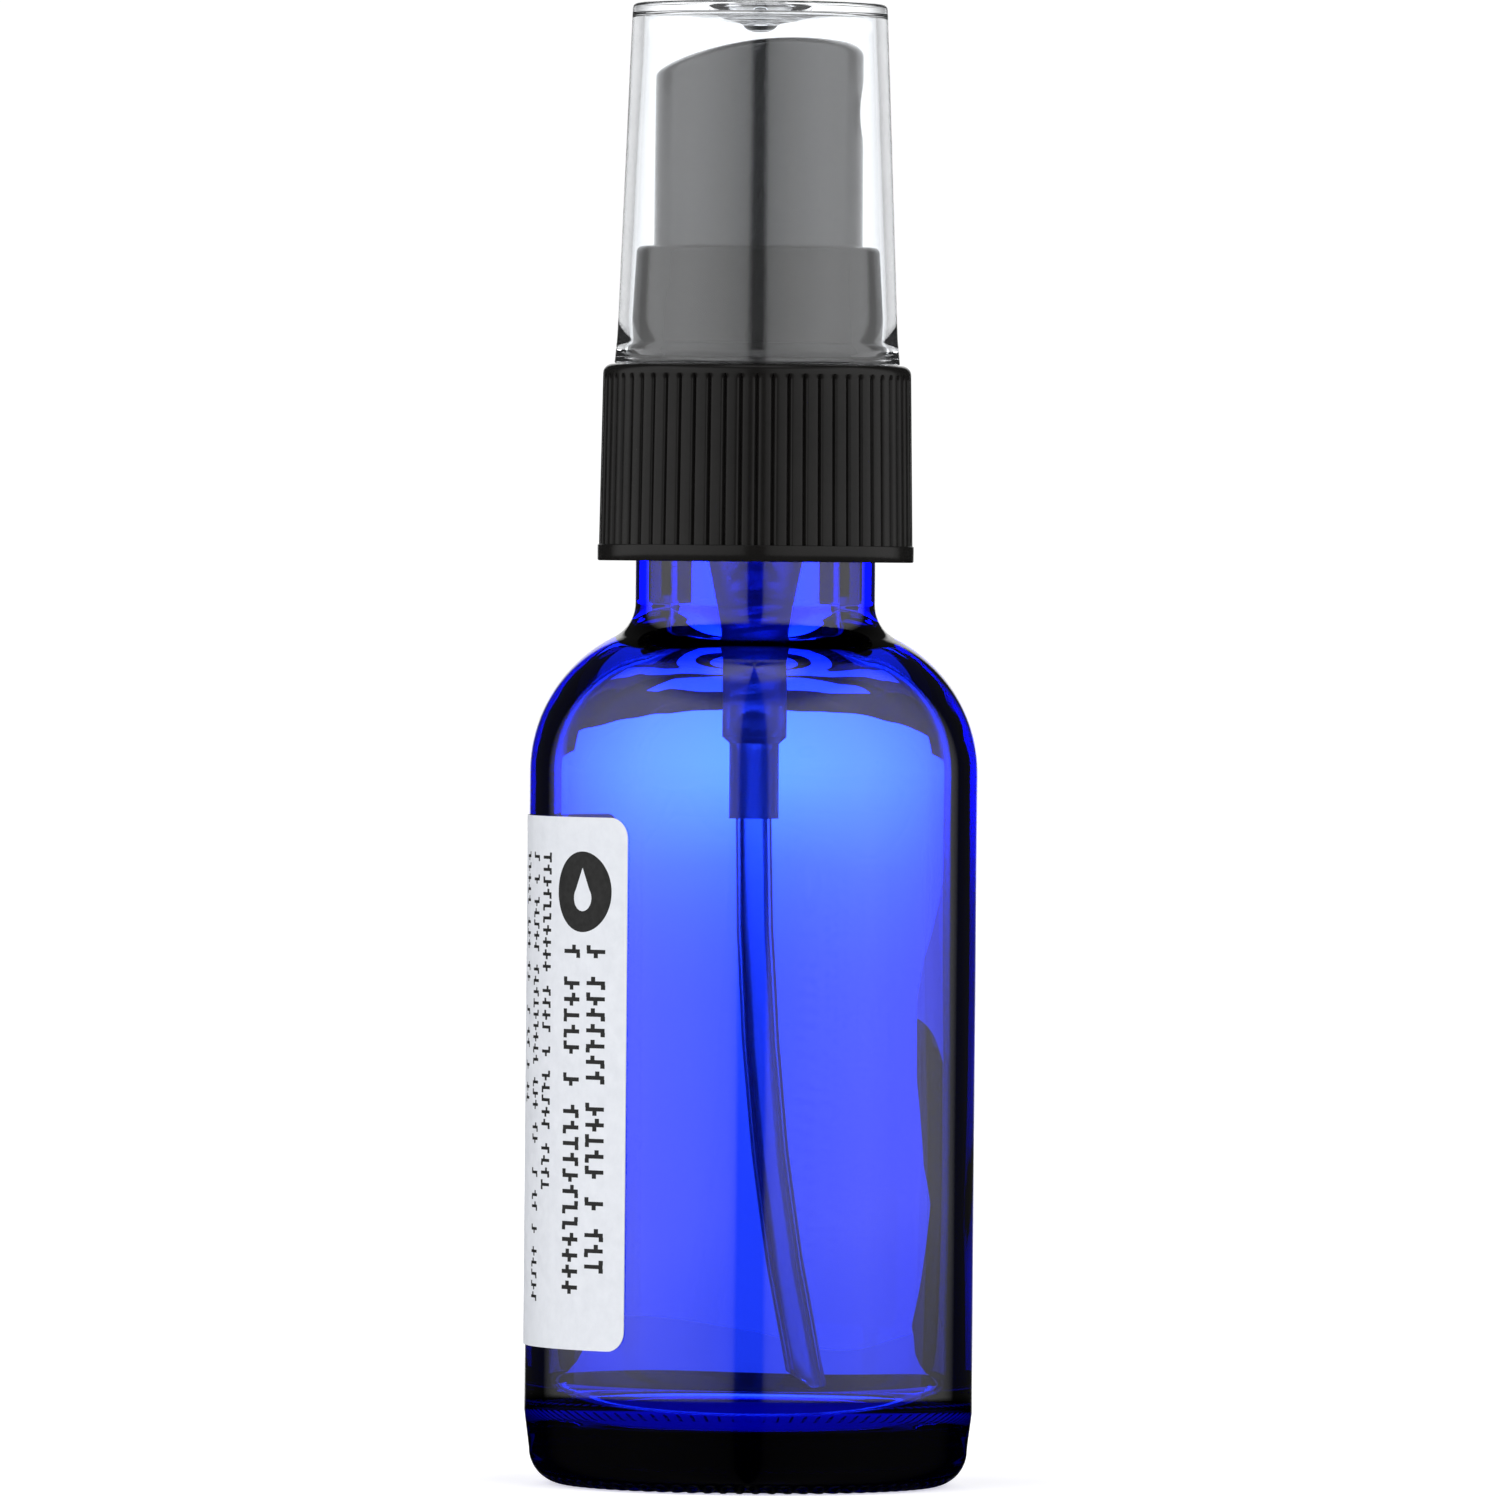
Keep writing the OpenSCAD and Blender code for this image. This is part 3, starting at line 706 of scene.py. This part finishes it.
button = button_shell()
POST = [(0, 88.36), (2.9, 88.36), (2.9, 98.55), (0, 98.55)]
BOSS = [(0, 0.3), (3.4, 0.3), (3.4, 7.0), (0, 7.0)]
SOCKET = [(0, 87), (2.0, 87), (2.0, 95.55), (0.8, 95.55), (0.8, 100.2), (0, 100.2)]
RECESS = [
    (0, dish_x), (dish_r - 0.12, dish_x), (dish_r, dish_x + 0.12), (dish_r + 0.02, 7.4), (dish_r + 0.5, 8.2), (0, 8.2),
]
INSERT_GAP = [(1.1, 4.9), (2.01, 4.9), (2.01, 7.2), (1.1, 7.2), (1.1, 4.9)]
cut(button, lathe("post", tagged(POST), 96), "UNION")
cut(button, turned_x("boss", BOSS), "UNION")
cut(button, lathe("socket", tagged(SOCKET), 64), "DIFFERENCE")
cut(button, turned_x("recess", RECESS), "DIFFERENCE")
cut(button, turned_x("pocket", INSERT_GAP, 64), "DIFFERENCE")
button.data.shade_smooth()
button.data.set_sharp_from_angle(angle=math.radians(30))
satin = Look("satin_button")
grit = satin.noise(3200, 5, 0.62)
satin.set(
    Base_Color=satin.ramp(satin.noise(160, 3), [(0.3, (0.006, 0.0065, 0.008)), (0.7, (0.011, 0.012, 0.014))]),
    Roughness=satin.remap(grit, 0.3, 0.7, 0.09, 0.15),
)
satin.bump(grit, 0.000002, 0.3)
finish_piece(button, satin, "actuator", "button_plastic", "button")


# ---------------------------------------------------------------- return spring
VALVE_GAP = 0.45    # room for the rod as it opens the piston's hole


def spring_path():
    turns, wire, flat = 7, 0.45, 0.8
    length = rod_collar - VALVE_GAP - cage_top - wire
    points = []
    for i in range(turns * 28 + 1):
        t = i / 28
        rise = min(1.0, max(0.0, (t - flat) / (turns - 2 * flat)))
        z = cage_top + wire / 2 + (length - 2 * wire) * rise
        z += wire * (min(1.0, t / flat) + max(0.0, (t - turns) / flat + 1))
        points.append(Vector((1.4 * math.cos(TAU * t), 1.4 * math.sin(TAU * t), z)))
    return points


spring = sweep("coil_spring", spring_path(), 0.22, 12)
steel = Look("spring_steel")
draw = steel.noise(1500, 3, 0.5)
steel.set(
    Base_Color=steel.ramp(draw, [(0.3, (0.55, 0.55, 0.56)), (0.7, (0.72, 0.72, 0.73))]),
    Roughness=steel.remap(draw, 0.3, 0.7, 0.16, 0.3),
    Metallic=1.0,
)
steel.bump(draw, 0.000004, 0.4)
finish_piece(spring, steel, "pump", "bright_steel", "return_spring")
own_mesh(spring)


# ---------------------------------------------------------------- CAD nodes that keep their shape
def moulded(name, dark, light, rough, transmission=0.0, scale=900):
    """Natural plastic with flow marks and a fine grain."""
    look = Look(name)
    flow = look.noise(scale * 0.2, 3, 0.5, look.stretched(1, 1, 0.4))
    skin = look.noise(scale * 3, 4, 0.6)
    look.set(
        Base_Color=look.ramp(flow, [(0.3, dark), (0.7, light)]),
        Roughness=look.remap(skin, 0.3, 0.7, rough[0], rough[1]),
    )
    look.bsdf.inputs["Transmission Weight"].default_value = transmission
    if transmission < 0.5:
        look.bump(skin, 0.000003, 0.3)
    return look


natural = moulded("natural_polypropylene", (0.86, 0.89, 0.93), (0.93, 0.95, 0.97), (0.30, 0.38), 0.8)
milky = moulded("natural_polyethylene", (0.80, 0.80, 0.78), (0.88, 0.88, 0.86), (0.3, 0.42), 0.15)
foam = moulded("white_foam", (0.78, 0.78, 0.76), (0.90, 0.90, 0.88), (0.7, 0.85), 0.0, 1500)
tubing = moulded("clear_tubing", (0.78, 0.83, 0.90), (0.86, 0.90, 0.94), (0.10, 0.16), 0.92)
acetal = moulded("black_acetal", (0.010, 0.010, 0.011), (0.018, 0.018, 0.019), (0.18, 0.3))

CAD_LOOKS = {
    "neck_gasket": foam,
    "pump_housing": natural,
    "retainer_ring": natural,
    "check_ball": steel,
    "valve_rod": natural,
    "piston": milky,
    "stem": natural,
    "dip_tube": tubing,
    "nozzle_insert": acetal,
}
for node, look in CAD_LOOKS.items():
    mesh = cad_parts[node].data
    mesh.materials.clear()
    mesh.materials.append(look.mat)


# ---------------------------------------------------------------- floor and light
floor_mesh = bpy.data.meshes.new("floor")
half = 3.0
corners = [(-half, -half, 0), (half, -half, 0), (half, half, 0), (-half, half, 0)]
floor_mesh.from_pydata(corners, [], [(0, 1, 2, 3)])
floor = bpy.data.objects.new("floor", floor_mesh)
floor.location.z = -0.00002
scene.collection.objects.link(floor)
pale = Look("pale_floor")
mottle = pale.noise(30, 4, 0.5)
pale.set(
    Base_Color=pale.ramp(mottle, [(0.3, (0.86, 0.86, 0.87)), (0.7, (0.89, 0.89, 0.90))]),
    Roughness=pale.remap(mottle, 0.3, 0.7, 0.7, 0.8),
)
pale.bsdf.inputs["Specular IOR Level"].default_value = 0.0
pale.bsdf.inputs["Emission Color"].default_value = (1, 1, 1, 1)
pale.bsdf.inputs["Emission Strength"].default_value = 0.55
floor_mesh.materials.append(pale.mat)
floor.visible_glossy = False

# cards that only light bent by the glass and the clear cap can see; outlines are (x, z) in mm
CARD_Y = 250.0
BACK_CARD = [
    (-49, 0), (-50, 26), (-62, 32), (-96, 36), (-122, 42), (-124, 59), (-72, 62), (-70, 74), (70, 74),
    (72, 62), (124, 59), (122, 43), (118, 39.5), (92, 36), (66, 32.5), (55, 29), (52, 22), (58, 15), (70, 11.6),
    (58, 5), (49, 1), (49, 0),
]
TOP_Y = 2000.0
TOP_CARD = [
    (-190, 345), (-150, 318), (-120, 326), (-60, 306), (0, 300), (60, 312), (105, 304), (150, 330), (190, 340),
    (165, 385), (120, 420), (60, 452), (0, 460), (-60, 452), (-120, 420), (-165, 385),
]
EYE_CARD = [(-400, 560), (-260, 510), (0, 490), (260, 510), (400, 560), (330, 680), (0, 740), (-330, 680)]
# light along the height of the cards, from the floor up, in mm
LEVELS = [
    (0, 1.4), (12, 1.5), (19, 1.7), (29, 2.25), (32.5, 2.75), (36, 3.6), (40, 5.2), (43, 7.5), (48, 11.5), (52, 12.5),
]


def bent_only(obj):
    """Shows a card to light that passes through glass, and to nothing else."""
    obj.visible_camera = obj.visible_diffuse = obj.visible_glossy = obj.visible_shadow = False


def flat_card(name, outline, place):
    mesh = bpy.data.meshes.new(name)
    mesh.from_pydata([place(*point) for point in outline], [], [tuple(range(len(outline)))])
    obj = bpy.data.objects.new(name, mesh)
    scene.collection.objects.link(obj)
    return obj


glow = Look("card_glow")
glow.tree.nodes.remove(glow.bsdf)
place = glow.new("ShaderNodeSeparateXYZ")
glow.join(glow.coord.outputs["Object"], place.inputs[0])
peak, card_top = LEVELS[-1][1], 120.0
shares = glow.ramp(
    glow.math("DIVIDE", place.outputs[2], card_top * MM), [(z / card_top, (v / peak,) * 3) for z, v in LEVELS]
)
emit = glow.new("ShaderNodeEmission")
glow.join(glow.math("MULTIPLY", shares, peak), emit.inputs["Strength"])
glow.join(emit.outputs[0], glow.out.inputs["Surface"])
sparkle = Look("top_glow")
sparkle.tree.nodes.remove(sparkle.bsdf)
emit = sparkle.new("ShaderNodeEmission")
emit.inputs["Strength"].default_value = 5.0
sparkle.join(emit.outputs[0], sparkle.out.inputs["Surface"])
for name, outline, away, look in (
    ("back_card", BACK_CARD, CARD_Y, glow),
    ("top_card", TOP_CARD, TOP_Y, sparkle),
    ("eye_card", EYE_CARD, TOP_Y, sparkle),
):
    card = flat_card(name, outline, lambda x, z: (x * MM, away * MM, z * MM))
    card.data.materials.append(look.mat)
    bent_only(card)

# a white half-round card behind the cap
CAP_CARD_R = 40.0
rim = [math.radians(a) for a in range(30, 151, 4)]
low_edge = [(CAP_CARD_R * math.cos(a) * MM, CAP_CARD_R * math.sin(a) * MM, 79 * MM) for a in rim]
high_edge = [(x, y, 140 * MM) for x, y, _ in low_edge]
n = len(rim)
mesh = bpy.data.meshes.new("cap_card")
mesh.from_pydata(low_edge + high_edge, [], [(i, i + 1, n + i + 1, n + i) for i in range(n - 1)])
card = bpy.data.objects.new("cap_card", mesh)
scene.collection.objects.link(card)
white = Look("white_glow")
white.tree.nodes.remove(white.bsdf)
emit = white.new("ShaderNodeEmission")
spot = white.new("ShaderNodeSeparateXYZ")
white.join(white.coord.outputs["Object"], spot.inputs[0])
off_centre = white.math("DIVIDE", white.math("ABSOLUTE", spot.outputs[0]), CAP_CARD_R * MM)
white.join(
    white.math("MULTIPLY", white.ramp(off_centre, [(0, (1, 1, 1)), (0.47, (1, 1, 1)), (0.8, (0.5, 0.5, 0.5))]), 1.3),
    emit.inputs["Strength"],
)
white.join(emit.outputs[0], white.out.inputs["Surface"])
mesh.materials.append(white.mat)
bent_only(card)

# black flags that only light bent by the glass can see: dark cards on the floor behind the bottle and upright behind
# its base paint the bottle's own shadow on the floor, and upright ones stand beside its edges
flag_and_shadow_black = Look("black_flag_and_painted_shadow")
flag_and_shadow_black.set(Base_Color=(0.01, 0.01, 0.01, 1.0), Roughness=0.9)
flag_and_shadow_black.bsdf.inputs["Specular IOR Level"].default_value = 0.0
# painted shadow: the middle of each floor card, just behind the bottle, stands in for the shadow the bottle casts on
# the floor; the outer parts darken the floor seen through the glass's sides
FLOOR_SHADOW_OUTLINE = [(0, 17.5), (60, 17.5), (1200, 900), (1200, 1200), (50, 1200), (50, 240), (34, 75), (0, 75)]
EDGE_FLAG = [(16.15, 0), (16.15, 52), (15.95, 54.5), (14.8, 57.5), (12.8, 60), (10.9, 61.5), (45, 61.5), (45, 0)]
FLAG_Y = 3.0
# painted shadow: an upright dark card behind the base stands in for the bottle's shadow on the floor seen through the
# base
BASE_SHADOW_OUTLINE = [(-17, 0.4), (-17, 6.2), (17, 6.2), (17, 0.4)]
base_shadow_card = flat_card("painted_base_shadow", BASE_SHADOW_OUTLINE, lambda x, z: (x * MM, 18.5 * MM, z * MM))
base_shadow_card.data.materials.append(flag_and_shadow_black.mat)
bent_only(base_shadow_card)
for side_x in (-1, 1):
    flags = [
        flat_card("floor_flag_and_shadow", FLOOR_SHADOW_OUTLINE, lambda x, y: (side_x * x * MM, y * MM, 0.3 * MM)),
        flat_card("edge_flag", EDGE_FLAG, lambda x, z: (side_x * x * MM, FLAG_Y * MM, z * MM)),
    ]
    for card in flags:
        card.data.materials.append(flag_and_shadow_black.mat)
        bent_only(card)

# soft light from every side, with a dark gap behind the camera and dark sectors beside the background
world = bpy.data.worlds.new("studio")
scene.world = world
world.use_nodes = True
nodes, links = world.node_tree.nodes, world.node_tree.links
nodes.clear()


def world_math(op, a, b=0.0):
    node = nodes.new("ShaderNodeMath")
    node.operation = op
    for socket, value in zip(node.inputs, (a, b)):
        if hasattr(value, "is_linked"):
            links.new(value, socket)
        else:
            socket.default_value = value
    return node.outputs[0]


def world_ramp(value, peak, stops):
    """Levels along a value from 0 to 1; the ramp itself holds shares of the peak."""
    node = nodes.new("ShaderNodeValToRGB")
    links.new(value, node.inputs["Fac"])
    line_ = node.color_ramp
    while len(line_.elements) < len(stops):
        line_.elements.new(0.5)
    for element, (at, level) in zip(line_.elements, stops):
        element.position = at
        element.color = (level / peak, level / peak, level / peak, 1.0)
    return world_math("MULTIPLY", node.outputs["Color"], peak)


def backdrop(strength_):
    node = nodes.new("ShaderNodeBackground")
    node.inputs["Color"].default_value = (1.0, 1.0, 1.0, 1.0)
    if hasattr(strength_, "is_linked"):
        links.new(strength_, node.inputs["Strength"])
    else:
        node.inputs["Strength"].default_value = strength_
    return node.outputs[0]


def choose(fac, a, b):
    node = nodes.new("ShaderNodeMixShader")
    for socket, value in zip(node.inputs, (fac, a, b)):
        links.new(value, socket)
    return node.outputs[0]


where = nodes.new("ShaderNodeTexCoord")
axes = nodes.new("ShaderNodeSeparateXYZ")
links.new(where.outputs["Generated"], axes.inputs[0])
side = world_math("ABSOLUTE", axes.outputs[0])
turn = world_math("DIVIDE", world_math("ARCTAN2", side, axes.outputs[1]), math.pi)
rise = world_math("DIVIDE", world_math("ADD", world_math("ARCSINE", axes.outputs[2]), math.pi / 2), math.pi)


def deg(angle):
    return angle / 180


boxes = world_ramp(turn, 1.9, [
    (deg(0), 0.9), (deg(9), 0.9), (deg(12), 0.02), (deg(48), 0.02), (deg(60), 0.7), (deg(80), 1.35),
    (deg(118), 1.9), (deg(150), 1.55), (deg(168), 1.2), (deg(171.5), 0.9), (deg(173.5), 0.03), (deg(180), 0.02),
])
upper = world_ramp(rise, 1.0, [
    (deg(0), 0.02), (deg(86.9), 0.02), (deg(87.4), 1.0), (deg(140), 1.0), (deg(150), 0.25), (deg(162), 0.2),
    (deg(168), 0.9), (deg(180), 0.9),
])
around = world_ramp(turn, 1.9, [
    (deg(0), 0.02), (deg(66), 0.02), (deg(72), 1.2), (deg(118), 1.9), (deg(150), 1.55), (deg(168), 1.2),
    (deg(173.5), 0.9), (deg(175.5), 0.03), (deg(180), 0.02),
])
beside = world_ramp(turn, 1.0, [
    (deg(0), 0.0), (deg(44), 0.0), (deg(54), 0.8), (deg(72), 1.0), (deg(73), 0.0), (deg(180), 0.0),
])
band = world_ramp(rise, 1.0, [
    (deg(0), 0.0), (deg(90.3), 0.0), (deg(90.5), 1.0), (deg(92.4), 1.0), (deg(92.9), 0.0), (deg(180), 0.0),
])
through = world_math("MAXIMUM", around, world_math("MULTIPLY", beside, band))
path = nodes.new("ShaderNodeLightPath")
reflected = backdrop(world_math("MULTIPLY", boxes, upper))
seen = choose(path.outputs["Is Transmission Ray"], reflected, backdrop(through))
seen = choose(path.outputs["Is Camera Ray"], seen, backdrop(1.05))
end = nodes.new("ShaderNodeOutputWorld")
links.new(seen, end.inputs["Surface"])
